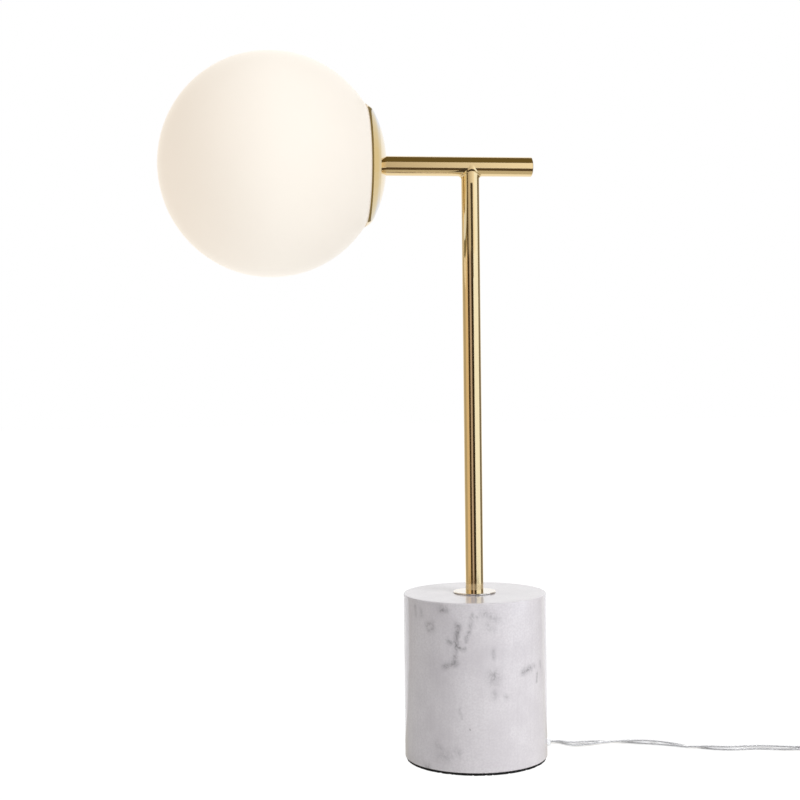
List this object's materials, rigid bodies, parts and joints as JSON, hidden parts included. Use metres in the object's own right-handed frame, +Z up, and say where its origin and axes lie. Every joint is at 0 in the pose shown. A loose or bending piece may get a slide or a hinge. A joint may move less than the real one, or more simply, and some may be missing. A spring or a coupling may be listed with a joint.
{
  "type": "globe table lamp",
  "caption": "Table lamp: marble drum base, upright brass stem, brass arm across its top and an opal glass globe held by a domed brass cap, with switched lead.",
  "frame": {"origin": "centre of the base's underside, on the table", "axes": "+Z up along the stem, the arm along X with the globe on the -X side; the lead leaves the base on the +X side"},
  "size_m": [0.6958, 0.2575, 0.64],
  "materials": {
    "marble": "polished pale grey-white marble with soft grey veins",
    "foam_pad": "matt black foam rubber",
    "clear_plastic": "clear moulded plastic",
    "zinc_steel": "zinc-plated steel",
    "threaded_steel": "zinc-plated threaded pipe",
    "brass": "polished lacquered brass",
    "raw_brass": "plain turned brass",
    "gasket": "thin black gasket",
    "white_gasket": "white silicone ring",
    "spring_steel": "bright spring steel",
    "white_enamel": "white enamelled steel",
    "porcelain": "glazed white porcelain",
    "opal_glass": "glossy opal white glass",
    "bulb_glass": "satin white bulb glass",
    "bulb_metal": "nickel-plated bulb base",
    "black_insulator": "black glass insulator",
    "board": "white coated aluminium board",
    "lead_jacket": "clear jacket over silver cores",
    "copper": "bare copper strip",
    "switch_shell": "milky clear moulded plastic",
    "switch_button": "white moulded plastic",
    "plug_shell": "milky clear moulded plastic",
    "plug_metal": "plated brass blades"
  },
  "bodies": {
    "lamp": {"marble_base": "marble", "base_pad": "foam_pad", "cord_bushing": "clear_plastic", "base_washer": "zinc_steel", "base_lock_washer": "zinc_steel", "base_nut": "zinc_steel", "base_pipe": "threaded_steel", "flange_gasket": "gasket", "base_flange": "brass", "stem_tube": "brass", "stem_foot_bush": "raw_brass", "stem_head_bush": "raw_brass", "arm_tube": "brass", "arm_end_plug": "brass", "tee_nipple": "threaded_steel", "arm_tee_block": "raw_brass", "arm_cap_bush": "raw_brass", "cap_nipple": "threaded_steel", "dome_cap": "brass", "cap_washer": "zinc_steel", "cap_nuts": "raw_brass", "globe_gallery": "white_enamel", "globe_clips": "spring_steel", "clip_rivets": "zinc_steel", "rim_gasket": "white_gasket", "holder_cap": "porcelain", "holder_skirt": "porcelain", "holder_core": "porcelain", "terminal_screws": "raw_brass", "screw_shell": "raw_brass", "centre_contact": "copper", "inner_lead": "lead_jacket", "lead_cores": "copper", "switch_lower": "switch_shell", "switch_upper": "switch_shell", "switch_pin": "zinc_steel", "switch_contacts": "copper", "switch_screws": "zinc_steel", "cord_lead": "lead_jacket", "cord_link": "lead_jacket", "cord_coil": "lead_jacket", "cord_tail": "lead_jacket", "plug_body": "plug_shell", "plug_blades": "plug_metal"},
    "globe": {"globe_glass": "opal_glass"},
    "bulb": {"bulb_glass": "bulb_glass", "bulb_screw_base": "bulb_metal", "bulb_insulator": "black_insulator", "bulb_tip_contact": "bulb_metal", "bulb_led_board": "board"},
    "rocker": {"switch_rocker": "switch_button"}
  },
  "joints": [
    {"name": "globe_off", "type": "slide", "parent": "lamp", "child": "globe", "axis": [-1, 0, 0], "range_m": [0, 0.115]},
    {"name": "bulb_out", "type": "slide", "parent": "lamp", "child": "bulb", "axis": [-1, 0, 0], "range_m": [0, 0.03]},
    {"name": "rocker_tilt", "type": "hinge", "parent": "lamp", "child": "rocker", "pos_m": [0.342, -0.042, 0.0098], "axis": [0, -1, 0], "range_deg": [0, 16]}
  ]
}
